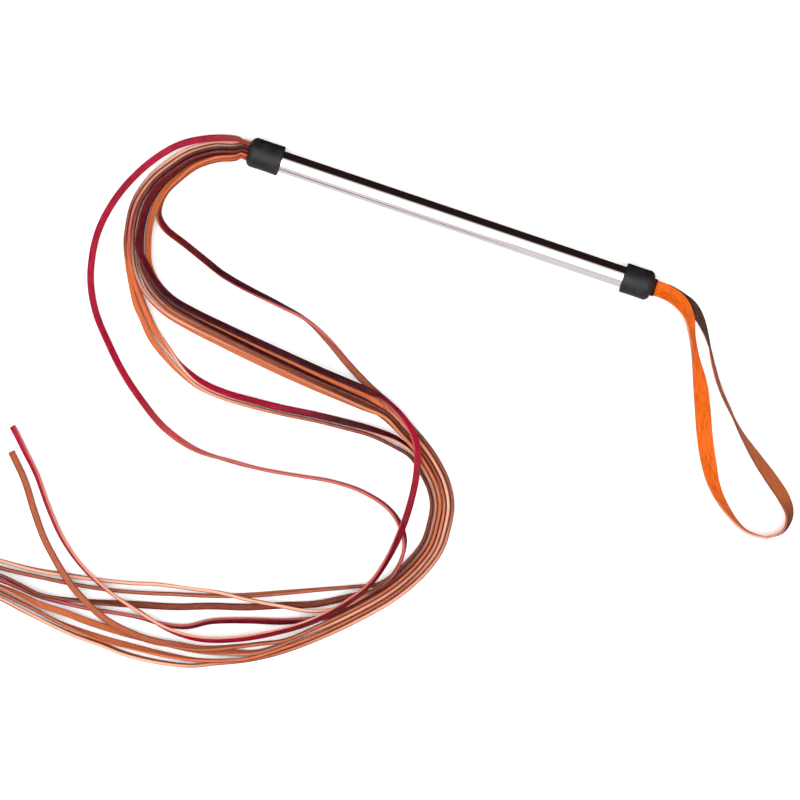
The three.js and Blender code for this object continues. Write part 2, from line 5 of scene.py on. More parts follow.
import bpy
import numpy as np
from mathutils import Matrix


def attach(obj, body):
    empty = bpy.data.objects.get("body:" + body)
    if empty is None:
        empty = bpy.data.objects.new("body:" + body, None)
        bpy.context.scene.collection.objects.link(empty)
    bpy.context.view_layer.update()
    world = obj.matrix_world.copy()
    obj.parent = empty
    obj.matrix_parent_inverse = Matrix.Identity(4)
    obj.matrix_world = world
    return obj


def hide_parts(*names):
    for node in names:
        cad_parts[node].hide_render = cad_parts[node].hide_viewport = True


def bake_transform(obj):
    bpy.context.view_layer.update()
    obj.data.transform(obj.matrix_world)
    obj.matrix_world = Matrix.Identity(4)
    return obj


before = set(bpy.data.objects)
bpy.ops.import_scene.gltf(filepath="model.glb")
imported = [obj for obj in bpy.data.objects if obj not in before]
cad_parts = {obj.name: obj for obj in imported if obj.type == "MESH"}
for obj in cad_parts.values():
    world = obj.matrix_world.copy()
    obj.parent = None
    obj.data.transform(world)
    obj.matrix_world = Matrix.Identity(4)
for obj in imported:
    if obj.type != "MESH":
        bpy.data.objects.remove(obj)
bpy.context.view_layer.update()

# ---- the camera ----
# A long lens straight above the whip, turned so that the handle slopes down to the right and the
# thongs run out of view at the left.
camera_data = bpy.data.cameras.new("camera")
camera_data.lens, camera_data.sensor_width = 150, 36
camera = bpy.data.objects.new("camera", camera_data)
camera.location = (0.0062, -0.1394, 2.484)
camera.rotation_euler = (0, 0, math.radians(18.7))
bpy.context.collection.objects.link(camera)
bpy.context.scene.camera = camera

# ---- the nine thongs ----
# Flat laces cut from one hide, dyed crimson on the grain side and left tan on the flesh side, with
# pale cut edges. They come on edge out of the slot in the head ferrule, and lie in a loose pile.
MM = 0.001
HANDLE_LENGTH = 318 * MM
FERRULE_RADIUS = 11.25 * MM
AXIS_Z = FERRULE_RADIUS * math.cos(math.pi / 48)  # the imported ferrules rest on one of 48 sides
HEAD_X, HEEL_X = -HANDLE_LENGTH / 2, HANDLE_LENGTH / 2
THONG_WIDTH = 5.2 * MM
THONG_THICKNESS = 2.5 * MM
THONG_LENGTH = 870 * MM
THONG_CORNER = 0.9 * MM
FULLER = 0.2 * MM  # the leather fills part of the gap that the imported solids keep
LAY = 0.5 * MM  # between laces that lie on each other
LAY_BESIDE = 0.2 * MM  # the least between laces that lie side by side
ROW_PITCH = THONG_WIDTH + LAY
COLUMN_PITCH = THONG_THICKNESS + LAY
MOUTH_GAP = 0.1 * MM  # between a lace and its end inside the ferrule

# The inner edge of the bundle, from the mouth to the foot, in millimetres from the mouth's middle.
BUNDLE_EDGE = [
    (-8, -11), (-20, -16), (-32, -25), (-40, -36), (-47, -49), (-50, -63), (-49, -78),
    (-45, -92), (-40, -103), (-30, -112), (-16, -119), (3, -123), (25, -126), (49, -129),
    (75, -132), (102, -135), (124, -137), (144, -139), (163, -145), (180, -154), (196, -163),
    (210, -174), (221, -186), (229, -201), (232, -219), (232, -236), (227, -253), (219, -269),
    (208, -285), (193, -302), (176, -319), (158, -335), (140, -349), (120, -361), (98, -371),
]
LANE = (THONG_THICKNESS + 3 * LAY_BESIDE) / MM  # from one thong on its edge to the next


def lane(first, last, lanes, rolls):
    """A thong that runs in the bundle: the bundle's edge, moved aside by its lane number."""
    edge = np.array(BUNDLE_EDGE, float)
    here = np.arange(first, last + 1)
    along = edge[np.minimum(here + 1, len(edge) - 1)] - edge[np.maximum(here - 1, 0)]
    part = np.linspace(0, 1, len(here)) if last > first else np.zeros(1)
    aside = (lanes[0] + (lanes[1] - lanes[0]) * part + 0.5) * LANE / np.hypot(*along.T)
    roll = rolls[0] + (rolls[1] - rolls[0]) * part
    return np.column_stack([edge[here, 0] + along[:, 1] * aside, edge[here, 1] - along[:, 0] * aside, roll])


# Lowest in the pile first. Each point is x, y and roll: 0 has the crimson side up, 90 has a cut edge
# up, 180 has the tan side up.
THONG_ROUTES = [
    [  # leaves the bundle at its inner edge, comes back outside it and ends outermost
        *lane(0, 4, (0, 0), (90, 90)),
        (-50, -60, 84), (-48, -68, 55), (-40, -75, 20), (-23, -81, 10), (-4, -88, 12),
        (10, -93, 20), (29, -97, 30), (57, -101, 60), (79, -105, 90), (99, -114, 130), (121, -127, 170),
        (142, -138, 175),
        *lane(18, 19, (0, 0), (140, 110)),
        *lane(20, 34, (0, 0), (90, 90)),
        (80, -377, 95), (56, -382, 105), (33, -384, 110), (13, -383, 110), (-6, -383, 100),
        (-28, -381, 90), (-50, -378, 80), (-69, -375, 80), (-91, -374, 90), (-117, -373, 90),
        (-146, -373, 90),
    ],
    [  # lies flat under its neighbours round the far bend and comes out in the middle group
        *lane(0, 5, (2, 3), (90, 90)),
        *lane(6, 8, (3, 3), (90, 90)),
        *lane(9, 17, (3.4, 3.4), (115, 145)),
        *lane(18, 22, (3, 1.6), (150, 180)),
        *lane(23, 28, (1.6, 3.6), (180, 180)),
        (173, -305, 150), (156, -314, 90), (137, -323, 40), (111, -331, 40), (86, -340, 50),
        (69, -350, 60), (52, -354, 70), (33, -355, 80), (12, -358, 90), (-6, -361, 90),
        (-26, -363, 80), (-43, -364, 80), (-57, -363, 80), (-71, -362, 80), (-95, -361, 80),
        (-122, -361, 80),
    ],
    [  # the outer of the two that part from the bundle and rejoin it at its inner side
        *lane(0, 5, (4, 6), (90, 90)),
        *lane(6, 7, (6, 6), (90, 110)),
        (-46, -131, 150), (-36, -143, 155), (-25, -155, 150), (-12, -164, 140), (4, -172.5, 120),
        (20, -178.5, 100), (39, -180.5, 90), (61, -179.7, 90), (85, -177.5, 90), (109, -174.5, 90),
        (133, -172.5, 90), (154, -171.5, 90), (174, -174, 90),
        *lane(20, 27, (5, 5), (90, 90)),
        (194, -274, 90), (175, -283, 90), (152, -293, 100), (129, -303, 110),
        (103, -314, 110), (77, -323, 100), (53, -330, 95), (29, -337, 90), (4, -343, 90),
        (-20, -347, 90), (-44, -350, 90), (-74, -353, 90), (-97, -353, 90), (-125, -353, 90),
    ],
    [  # stays in the bundle to its foot, tan side up beyond it
        *lane(0, 5, (1, 2), (90, 90)),
        *lane(6, 8, (2, 2), (90, 90)),
        *lane(9, 13, (2.3, 2.4), (80, 45)),
        *lane(14, 17, (2.4, 2.5), (45, 75)),
        *lane(18, 31, (2, 2), (90, 90)),
        (127, -350, 110), (105, -358, 140), (82, -364, 170), (58, -367, 175), (36, -369, 175),
        (16, -370, 170), (-2, -370, 165), (-20, -369, 165), (-39, -369, 160), (-56, -367, 130),
        (-69, -366, 110), (-93, -365, 100), (-120, -364, 100),
    ],
    [  # the inner of the two that part from the bundle, broad and crimson where it comes back
        *lane(0, 5, (3, 5), (90, 90)),
        *lane(6, 7, (5, 5), (90, 110)),
        (-53, -114, 150), (-44, -126, 140), (-33, -139, 150), (-22, -150, 140), (-9, -159, 110),
        (5, -168, 70), (21, -174, 30), (40, -176, 15), (62, -175, 10), (85, -173, 5),
        (109, -170, 0), (132, -168, 5), (153, -167, 20), (173, -168, 50),
        *lane(20, 28, (4, 4), (90, 95)),
        (178, -289, 130), (155, -303, 160), (132, -312, 175),
        (107, -322, 180), (81, -330, 180), (56, -339, 175), (30, -346, 165), (4, -353, 120),
        (-22, -359, 95), (-42, -362, 80), (-58, -360, 70), (-72, -358, 80), (-96, -357, 90),
        (-124, -356, 90),
    ],
    [  # broad and tan side up along the bundle's inner edge
        *lane(0, 5, (0.5, 0.4), (90, 150)),
        *lane(6, 8, (0.4, 0.5), (150, 150)),
        *lane(9, 17, (0.8, 1.2), (150, 180)),
        *lane(18, 31, (1, 1), (90, 90)),
        (124, -355, 90), (105, -364, 90), (83, -371, 100), (59, -375, 120), (32, -377, 140),
        (14, -378, 150), (-5, -378, 120), (-24, -377, 90), (-45, -374, 85), (-68, -371, 90),
        (-92, -369, 90), (-120, -369, 90), (-146, -369, 90),
    ],
    [  # swings out on its own beside the bundle, crimson side up
        (-13, 5, 60), (-33, -2, 20), (-51, -13, 10), (-66, -30, 0), (-78, -51, 0),
        (-85, -71, 0), (-88, -92, 0), (-86, -113, 0), (-80, -133, 0), (-69, -152, 10),
        (-54, -169, 20), (-38, -185, 20), (-19, -200, 10), (5, -215, 20), (32, -223, 60),
        (59, -223, 100), (86, -221, 90), (112, -217, 90), (137, -213, 85), (161, -213, 80),
        (184, -219, 70), (199, -232, 60), (204, -247, 90), (201, -266, 100), (188, -284, 95),
        (173, -299, 90), (153, -309, 85), (129, -313, 90), (105, -316, 95), (83, -318, 90),
        (63, -322, 85), (39, -327, 90), (18, -333, 90), (-4, -338, 90), (-26, -342, 100),
        (-50, -346, 100), (-76, -348, 90), (-99, -348, 90), (-127, -348, 90),
    ],
    [  # tan side up where its end turns up across the others
        *lane(0, 5, (2.5, 4), (90, 90)),
        *lane(6, 8, (4, 4), (90, 90)),
        *lane(9, 13, (4.6, 4.7), (100, 145)),
        *lane(14, 17, (4.7, 4.4), (145, 105)),
        *lane(18, 30, (3, 3), (90, 90)),
        (144, -334, 95), (125, -344, 100), (108, -352, 105), (86, -361, 120), (66, -365, 145),
        (47, -368, 165), (28, -367, 170), (9, -363, 180), (-9, -355, 185), (-24, -346, 185),
        (-39, -334, 180), (-53, -321, 175), (-67, -304, 170), (-81, -285, 165), (-98, -267, 160),
        (-114, -247, 160),
    ],
    [  # on top: crosses the bundle at the far bend, and its end turns up across the others
        *lane(0, 3, (1.5, 2), (90, 80)),
        *lane(4, 7, (2.2, 2.5), (50, 20)),
        *lane(8, 17, (1, 0.1), (30, 10)),
        (155, -143, 50), (173, -152, 40), (187, -166, 20), (194, -186, 0), (197, -209, 0),
        (197, -232, 20), (194, -255, 50), (187, -277, 60), (172, -299, 40), (153, -318, 40),
        (130, -334, 40), (106, -347, 45), (82, -355, 50), (57, -356, 70), (31, -350, 95),
        (5, -343, 80), (-19, -332, 68), (-40, -317, 62), (-57, -299, 58), (-73, -279, 55),
        (-86, -266, 50), (-98, -254, 40), (-108, -245, 40),
    ],
]
# Where each leaves the mouth, column and row, and how much longer it was cut.
THONG_PLACES = [
    (-2, -0.5, 0), (0, -0.5, 0), (2, -0.5, 0), (-1, -0.5, 0), (1, -0.5, 0),
    (-1.5, 0.5, 0), (1.5, 0.5, 0), (0.5, 0.5, 24), (-0.5, 0.5, -14),
]
SAMPLE = 2.5 * MM
STRAIGHT_OUT = 5 * MM
DROP_LENGTH = 95 * MM
STEEPEST = 0.16
EASE_SAMPLES = 5
FINE_STEPS = 24


def straight_out(way, y, roll):
    """The first three points of a lace that comes straight out of its mouth."""
    return [(way * (MOUTH_GAP / MM + STRAIGHT_OUT / MM * part), y, roll) for part in (0, 0.4, 1)]


def plan(points, length):
    """A Catmull-Rom curve through x, y, roll: each piece is the cubic that has the points' own slopes,
    half the chord of their neighbours. It is then sampled evenly along its length in plan."""
    p = np.vstack([2 * points[:1] - points[1:2], points, 2 * points[-1:] - points[-2:-1]])
    place = np.linspace(0, len(points) - 1, len(points) * FINE_STEPS + 1)
    piece = np.minimum(place.astype(int), len(points) - 2)
    w = (place - piece)[:, None]
    a, b, c, d = (p[piece + k] for k in range(4))
    slope, next_slope = (c - a) / 2, (d - b) / 2
    curve = (b + slope * w + (3 * (c - b) - 2 * slope - next_slope) * w**2
             + (2 * (b - c) + slope + next_slope) * w**3)
    steps = np.hypot(*np.diff(curve[:, :2], axis=0).T)
    along = np.concatenate([[0], np.cumsum(steps)])
    even = np.arange(0, min(along[-1], length) + 1e-9, SAMPLE)
    return np.column_stack([np.interp(even, along, curve[:, k]) for k in range(3)])


def ease(value, low, high):
    """A smooth 0 to 1 between low and high: 3t^2 - 2t^3."""
    t = np.clip((value - low) / (high - low), 0, 1)
    return t * t * (3 - 2 * t)


def lay_runs(runs, width, thickness):
    """Heights for runs in plan, lowest first. A run hangs from its mouth to the surface, clears every
    run below it by the sum of their half heights and LAY, climbs no steeper than STEEPEST, and is then
    the mean over EASE_SAMPLES to each side. Each result has columns x, y, z, roll."""
    laid = []
    for points, length, exit_z in runs:
        x, y, roll = plan(points, length).T
        turn = np.radians(roll)
        tall = width * abs(np.sin(turn)) + thickness * abs(np.cos(turn))
        wide = width * abs(np.cos(turn)) + thickness * abs(np.sin(turn))
        along = np.arange(len(x)) * SAMPLE
        hang = exit_z + (tall / 2 - exit_z) * ease(along, STRAIGHT_OUT, DROP_LENGTH)
        z = np.maximum(hang, tall / 2)
        for x2, y2, z2, tall2, wide2 in laid:
            apart = np.hypot(x[:, None] - x2, y[:, None] - y2)
            near = apart < (wide[:, None] + wide2) / 2 + LAY_BESIDE
            over = np.where(near, z2 + (tall[:, None] + tall2) / 2 + LAY, 0)
            z = np.maximum(z, over.max(axis=1))
        gap = abs(np.arange(len(x))[:, None] - np.arange(len(x)))
        z = (z - STEEPEST * SAMPLE * gap).max(axis=1)
        window = gap <= EASE_SAMPLES
        z = np.where(window, z, 0).max(axis=1)
        z = window @ z / window.sum(axis=1)
        z = exit_z + (z - exit_z) * ease(along, STRAIGHT_OUT, 3 * STRAIGHT_OUT)
        laid.append((x, y, z, tall, wide))
        yield np.column_stack([x, y, z, roll])


def ink(red, green, blue):
    """A colour given as it shows on a screen, 0 to 255, in the shader's linear values."""
    shown = np.array([red, green, blue]) / 255
    linear = np.where(shown <= 0.04045, shown / 12.92, ((shown + 0.055) / 1.055) ** 2.4)
    return (*linear.tolist(), 1)


SIDES = ("edge", "grain", "flesh")
# The tones along the hide, by the letters that the thongs' lists use. Most show dyeing that took
# differently; rose as a grain tone is a painted highlight, and near black is painted shade.
TONES = {
    "P": ink(224, 156, 130),  # pale raw edge
    "O": ink(180, 86, 42),  # orange tan
    "T": ink(150, 74, 48),  # tan
    "B": ink(104, 38, 22),  # brown
    # Rose is the cut edges' own pink; as a grain tone it is a painted highlight.
    "R": ink(176, 76, 76),  # rose
    "C": ink(140, 0, 34),  # crimson
    "W": ink(80, 0, 8),  # wine
    # Near black is painted shade, on grain and edges that lie turned from the light.
    "K": ink(36, 0, 2),  # near black
    "S": ink(212, 92, 2),  # orange suede
    "D": ink(40, 12, 5),  # dark brown
    "N": ink(152, 72, 26),  # nut brown
}


FLAT_STEPS = 4
CORNER_STEPS = 4


def section(width, thickness, corner):
    """A rounded rectangle, walked from the middle of the grain side: columns are the place across the
    width, the place through the thickness, and the distance walked, negative on the far half."""
    turns = np.radians(np.linspace(90, 0, CORNER_STEPS))
    top = np.column_stack([width / 2 - corner + corner * np.cos(turns),
                           thickness / 2 - corner + corner * np.sin(turns)])
    flat = np.column_stack([np.linspace(0, width / 2 - corner, FLAT_STEPS, endpoint=False),
                            np.full(FLAT_STEPS, thickness / 2)])
    half = np.vstack([flat, top, top[::-1] * (1, -1), flat[::-1] * (1, -1)])
    walked = np.concatenate([[0], np.cumsum(np.hypot(*np.diff(half, axis=0).T))])
    other = half[-2:0:-1] * (-1, 1)
    return np.vstack([np.column_stack([half, walked]), np.column_stack([other, -walked[-2:0:-1]])])


def mesh_object(name, points, faces, uv=None, smooth=True):
    """A mesh object from points and faces, with a UV map named lace where uv is given per corner."""
    mesh = bpy.data.meshes.new(name)
    mesh.from_pydata(points, [], faces)
    mesh.polygons.foreach_set("use_smooth", np.full(len(mesh.polygons), smooth))
    if uv is not None:
        mesh.uv_layers.new(name="lace").data.foreach_set("uv", np.asarray(uv, np.float32).ravel())
    mesh.validate()
    piece = bpy.data.objects.new(name, mesh)
    bpy.context.collection.objects.link(piece)
    return piece


CUT_WANDER = 0.02
CUT_WAVES = np.array([61, 37, 23, 11]) * MM


def lace(name, path, roll, width, thickness, corner, seed, dyes_and_painted_light):
    """The rounded rectangle carried along the path. At each ring the width points along
    S cos(roll) + U sin(roll) and the thickness along U cos(roll) - S sin(roll), where S is level and
    across the path and U is across both. The width is trimmed by CUT_WANDER times the mean of some
    sines of the distance along, as hand cutting leaves it. The UV map holds the distance along and
    the distance round, in metres, and three colour attributes hold the tones of edge, grain and flesh,
    mixed evenly between the places that are listed; some of these tones are painted highlight and
    painted shade."""
    rng = np.random.default_rng(seed)
    tangent = np.gradient(path, axis=0)
    tangent /= np.linalg.norm(tangent, axis=1)[:, None]
    side = np.cross(tangent, (0, 0, 1))
    side /= np.linalg.norm(side, axis=1)[:, None]
    above = np.cross(side, tangent)
    c, s = np.cos(np.radians(roll))[:, None], np.sin(np.radians(roll))[:, None]
    across, through = side * c + above * s, above * c - side * s
    along = np.concatenate([[0], np.cumsum(np.linalg.norm(np.diff(path, axis=0), axis=1))])
    phases = rng.uniform(0, 2 * math.pi, len(CUT_WAVES))
    waves = np.sin(along[:, None] / CUT_WAVES + phases)
    trim = 1 - CUT_WANDER * (1 - waves.mean(axis=1))
    outline = section(width, thickness, corner)
    n, m = len(path), len(outline)
    rings = (path[:, None] + across[:, None] * outline[None, :, :1] * trim[:, None, None]
             + through[:, None] * outline[None, :, 1:2])
    points = np.vstack([rings.reshape(-1, 3), path[:1], path[-1:]])
    ring, spot = np.meshgrid(np.arange(n - 1), np.arange(m), indexing="ij")
    after = (spot + 1) % m
    sides = np.stack([ring * m + spot, (ring + 1) * m + spot, (ring + 1) * m + after, ring * m + after], -1)
    ends = np.arange(m)
    first = np.stack([np.full(m, n * m), ends, (ends + 1) % m], -1)
    last = np.stack([np.full(m, n * m + 1), (n - 1) * m + (ends + 1) % m, (n - 1) * m + ends], -1)
    walked = outline[:, 2]
    girth = 2 * walked.max()
    walked_after = np.roll(walked, -1)
    walked_after = np.where(walked_after < walked - girth / 2, walked_after + girth, walked_after)
    a0, a1 = along[ring], along[ring + 1]
    w0, w1 = walked[spot], walked_after[spot]
    uv_sides = np.stack([np.stack([a0, w0], -1), np.stack([a1, w0], -1),
                         np.stack([a1, w1], -1), np.stack([a0, w1], -1)], -2)
    uv_ends = np.full((6 * m, 2), girth)  # far beyond the sides' values, so that a cut end is all edge
    uv = np.vstack([uv_sides.reshape(-1, 2), uv_ends])
    faces = sides.reshape(-1, 4).tolist() + first.tolist() + last.tolist()
    piece = mesh_object(name, points, faces, uv)
    places = [listed_tone[0] * MM for listed_tone in dyes_and_painted_light]
    for k, kind in enumerate(SIDES, 1):
        tones = np.array([TONES[listed_tone[k]] for listed_tone in dyes_and_painted_light])
        shade = np.column_stack([np.interp(along, places, channel) for channel in tones.T])
        shade = np.vstack([np.repeat(shade, m, axis=0), shade[:1], shade[-1:]])
        layer = piece.data.attributes.new(kind + "_dye_and_painted_light", "FLOAT_COLOR", "POINT")
        layer.data.foreach_set("color", shade.astype(np.float32).ravel())
    return piece


class Term:
    """One number in a material's nodes. Arithmetic on it adds Math nodes."""

    def __init__(self, look, socket):
        self.look, self.socket = look, socket

    def math(self, operation, first, second):
        return self.look.node("ShaderNodeMath", {"operation": operation}, {0: first, 1: second})

    def __add__(self, other):
        return self.math("ADD", self, other)

    def __sub__(self, other):
        return self.math("SUBTRACT", self, other)

    def __mul__(self, other):
        return self.math("MULTIPLY", self, other)


class Look:
    """A material with a Principled shader. node() adds any node, the rest are its common uses."""

    def __init__(self, name, **constants):
        self.material = bpy.data.materials.new(name)
        self.material.use_nodes = True
        self.tree = self.material.node_tree
        self.shader = self.tree.nodes["Principled BSDF"]
        self.set(**constants)

    def set(self, **values):
        """Sets or links the shader's sockets, named with _ for a space."""
        for name, value in values.items():
            self.feed(self.shader.inputs[name.replace("_", " ")], value)

    def feed(self, socket, value):
        if isinstance(value, Term):
            self.tree.links.new(value.socket, socket)
        else:
            socket.default_value = value

    def node(self, kind, settings, inputs, output=0):
        """Any node: its settings, then the values or links of its sockets."""
        node = self.tree.nodes.new(kind)
        for name, value in settings.items():
            setattr(node, name, value)
        for name, value in inputs.items():
            self.feed(node.inputs[name], value)
        return Term(self, node.outputs[output])

    def noise(self, vector, scale, detail=3.0, roughness=0.55):
        sizes = {"Vector": vector, "Scale": scale, "Detail": detail, "Roughness": roughness}
        return self.node("ShaderNodeTexNoise", {}, sizes)

    def fade(self, value, low, high):
        """A smooth 0 to 1 as the value goes from low to high."""
        return self.node("ShaderNodeMapRange", {"interpolation_type": "SMOOTHSTEP"},
                         {"Value": value, "From Min": low, "From Max": high})

    def mix(self, factor, a, b):
        """Colour a at factor 0 and b at 1."""
        return self.node("ShaderNodeMix", {"data_type": "RGBA"}, {0: factor, 6: a, 7: b}, 2)

    def stretched(self, vector, scale):
        return self.node("ShaderNodeVectorMath", {"operation": "MULTIPLY"}, {0: vector, 1: scale})

    def bump(self, height, strength, distance):
        return self.node("ShaderNodeBump", {}, {"Height": height, "Strength": strength, "Distance": distance})


def lace_look(name, width, thickness, grain_shine, line_strength):
    """Cut leather: smooth dyed grain, fibrous flesh, and cut edges with a darker line along each of
    their sides. The distance round tells the sides apart: grain up to near, an edge up to far, and
    flesh beyond. Each side has its own listed tone, made darker or lighter by noises that are
    stretched along the lace; the pink on the lightest grain streaks is partly wear and partly a
    painted highlight."""
    look = Look(name, Specular_IOR_Level=0.05)
    uv = look.node("ShaderNodeUVMap", {"uv_map": "lace"}, {})
    walked = look.node("ShaderNodeSeparateXYZ", {}, {0: uv}, 1)
    around = look.node("ShaderNodeMath", {"operation": "ABSOLUTE"}, {0: walked})
    # Each side's listed tones, with the painted highlight and painted shade that the lists hold.
    edge_dye_and_painted_shade, grain_dye_and_painted_light, flesh_dye = (
        look.node("ShaderNodeAttribute", {"attribute_name": kind + "_dye_and_painted_light"}, {}) for kind in SIDES)
    near, far = width / 2, width / 2 + thickness
    over = 0.3 * MM  # the dye runs this far round the corners
    turned = look.fade(around, near - over, near + 0.1 * MM)
    end_grain = look.fade(around, far + width, far + 2 * width)
    on_flesh = look.fade(around, far - over - 0.25 * MM, far - over) - end_grain

    streaks = look.noise(look.stretched(uv, (1, 9, 1)), 130.0)
    blotches = look.noise(look.stretched(uv, (1, 2, 1)), 22.0, 4.0)
    fibres = look.noise(look.stretched(uv, (1, 5, 1)), 900.0, 5.0, 0.7)
    creases = look.noise(look.stretched(uv, (3, 1, 1)), 420.0, 4.0)
    # The pink that the lightest grain streaks take is partly wear and partly a painted highlight.
    black, white, rubbed_and_sheen = ink(20, 6, 6), ink(255, 214, 190), ink(235, 110, 140)
    grain = look.mix(look.fade(streaks + blotches * 0.6, 0.62, 1.0),
                     look.mix(0.45, grain_dye_and_painted_light, black), look.mix(0.04, grain_dye_and_painted_light, rubbed_and_sheen))
    flesh = look.mix(look.fade(fibres + streaks * 0.5, 0.6, 1.0),
                     look.mix(0.3, flesh_dye, black), look.mix(0.08, flesh_dye, white))
    edge = look.mix(look.fade(fibres + streaks * 0.6, 0.6, 1.05),
                    look.mix(0.25, edge_dye_and_painted_shade, black), look.mix(0.1, edge_dye_and_painted_shade, white))
    color = look.mix(on_flesh, look.mix(turned, grain, edge), flesh)

    middle = (near + far) / 2
    last_line = (look.fade(around, middle + 0.2 * MM, middle + 0.75 * MM)
                 - look.fade(around, far - 0.2 * MM, far + 0.2 * MM))
    first_line = (look.fade(around, near - 0.2 * MM, near + 0.1 * MM)
                  - look.fade(around, near + 0.3 * MM, near + 0.6 * MM))
    lines = (last_line + first_line) * look.fade(streaks + blotches * 0.4, 0.45, 0.75) * line_strength
    color = look.mix(lines, color, look.mix(0.6, edge_dye_and_painted_shade, black))
    height = creases * 0.4 + fibres * (turned * 0.9 + 0.1)
    look.set(Base_Color=color,
             Roughness=turned * (0.75 - grain_shine) + fibres * 0.12 + (grain_shine - 0.04),
             Normal=look.bump(height, 0.35, 0.15 * MM))
    return look.material


thong_leather = lace_look("thong leather", THONG_WIDTH, THONG_THICKNESS + FULLER, 0.32, 0.9)
# Each thong's tones: millimetres along, then the tone of its edges, its grain and its flesh. Rose
# as a grain tone is a painted highlight, and near black is painted shade.
THONG_DYES_AND_PAINTED_LIGHT = [
    [(0, *"OCO"), (115, *"OWO"), (150, *"RKT"), (240, *"RKT"), (300, *"BWT"), (400, *"TWB"), (500, *"PWT"),
     (600, *"TWT"), (680, *"PWT"), (870, *"PWT")],
    [(0, *"BWB"), (100, *"RWB"), (180, *"PWO"), (260, *"PWO"), (330, *"TWB"), (400, *"PWT"), (540, *"TWB"),
     (600, *"RWB"), (870, *"RWT")],
    [(0, *"PCT"), (60, *"PWT"), (110, *"BWB"), (160, *"TWO"), (250, *"PWO"), (330, *"TWT"), (440, *"WWT"),
     (520, *"BWB"), (600, *"TWT"), (870, *"TWT")],
    [(0, *"WWT"), (100, *"WWT"), (200, *"BKB"), (330, *"WKB"), (420, *"TWT"), (560, *"PWO"), (870, *"TWO")],
    [(0, *"PCO"), (60, *"PWO"), (120, *"RWO"), (190, *"ORO"), (240, *"PCO"), (310, *"RCO"), (360, *"PKT"),
     (540, *"BWB"), (870, *"BWB")],
    [(0, *"OCO"), (110, *"OCO"), (330, *"OCO"), (420, *"PWT"), (500, *"TWT"), (600, *"OWO"), (870, *"TWT")],
    [(0, *"BRT"), (35, *"BCT"), (110, *"RCT"), (280, *"RCT"), (330, *"TRT"), (400, *"RTT"), (520, *"RWT"),
     (560, *"WWT"), (600, *"PWT"), (870, *"PWT")],
    [(0, *"KWT"), (60, *"WWT"), (120, *"BWT"), (200, *"PWO"), (420, *"OWT"), (560, *"TWT"), (894, *"TWT")],
    [(0, *"WWT"), (120, *"WWT"), (170, *"KKT"), (330, *"KKT"), (370, *"RCT"), (500, *"RWT"), (560, *"PWT"),
     (640, *"PCT"), (860, *"RCT")],
]

thong_runs = []
for (column, row, extra), route in zip(THONG_PLACES, THONG_ROUTES):
    start = straight_out(-1, column * COLUMN_PITCH / MM, 90)
    points = np.vstack([start, route]) * (MM, MM, 1) + (HEAD_X, 0, 0)
    thong_runs.append((points, THONG_LENGTH + extra * MM, AXIS_Z + row * ROW_PITCH))
for i, run in enumerate(lay_runs(thong_runs, THONG_WIDTH, THONG_THICKNESS)):
    column, row, extra = THONG_PLACES[i]
    path, roll = run[:, :3], run[:, 3]
    thong = lace(f"leather_thong_{i + 1}", path, roll, THONG_WIDTH, THONG_THICKNESS + FULLER,
                 THONG_CORNER, 40 + i, THONG_DYES_AND_PAINTED_LIGHT[i])
    thong.data.materials.append(thong_leather)
    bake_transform(thong)
    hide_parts(f"thong_{i + 1}")

# ---- the wrist strap ----
# One flat strap of thicker hide, orange suede on its inner side and dark dyed grain on its outer
# side. Both its ends go through the slot in the heel ferrule, and it lies as a long loop.
STRAP_WIDTH = 12 * MM
STRAP_THICKNESS = 1.8 * MM
STRAP_CORNER = 0.6 * MM
TAIL_Z = STRAP_THICKNESS / 2 + 0.15 * MM  # each end lies this far above or below the axis
# The two runs from the mouth to the far turn, in millimetres from the mouth's middle. A roll of 0
# has the orange side up and 180 the dark side.
STRAP_LOWER_RUN = [
    (11, 0, -172), (21, -2, -160), (31, -5, -142), (41, -13, -120), (51, -26, -98),
    (60, -41, -90), (70, -55, -90), (82, -68, -92), (96, -82, -105), (112, -95, -128),
    (127, -106, -142), (141, -117, -140), (149, -128, -120), (148, -141, -100), (137, -150, -90),
]
STRAP_UPPER_RUN = [
    (11, -1, 8), (21, -5, 22), (30, -13, 46), (37, -26, 66), (45, -41, 60),
    (54, -57, 28), (62, -74, 4), (70, -92, 2), (79, -109, 14), (90, -126, 44),
    (105, -140, 66), (121, -149, 82), (137, -150, 90),
]

strap_runs = []
for roll, run, z in ((-180, STRAP_LOWER_RUN, -TAIL_Z), (0, STRAP_UPPER_RUN, TAIL_Z)):
    points = np.vstack([straight_out(1, 0, roll), run]) * (MM, MM, 1) + (HEEL_X, 0, 0)
    strap_runs.append((points, math.inf, AXIS_Z + z))
lower_run, upper_run = lay_runs(strap_runs, STRAP_WIDTH, STRAP_THICKNESS)
strap_run = np.vstack([upper_run[:-1], lower_run[::-1] * (1, 1, 1, -1)])
strap_path, strap_roll = strap_run[:, :3], strap_run[:, 3]
STRAP_DYES = [
    (0, *"OSD"), (30, *"PSD"), (60, *"TSD"), (170, *"OSD"), (215, *"POD"), (240, *"TSD"), (262, *"BNN"),
    (330, *"BNN"), (360, *"BND"), (400, *"DSD"), (448, *"DSD"),
]
strap = lace("leather_wrist_strap", strap_path, strap_roll, STRAP_WIDTH, STRAP_THICKNESS, STRAP_CORNER,
             7, STRAP_DYES)
strap.data.materials.append(lace_look("strap leather", STRAP_WIDTH, STRAP_THICKNESS, 0.6, 0.5))
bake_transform(strap)
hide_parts("wrist_strap")

# ---- the handle tube ----
# A length of chromed steel tube, polished bright, with both its ends inside the ferrules.
TUBE_RADIUS = 8 * MM
BORE_RADIUS = 7 * MM
TUBE_SIDES = 128
TUBE_HEAD_X = HEAD_X + 11 * MM
TUBE_HEEL_X = HEEL_X - 5.8 * MM


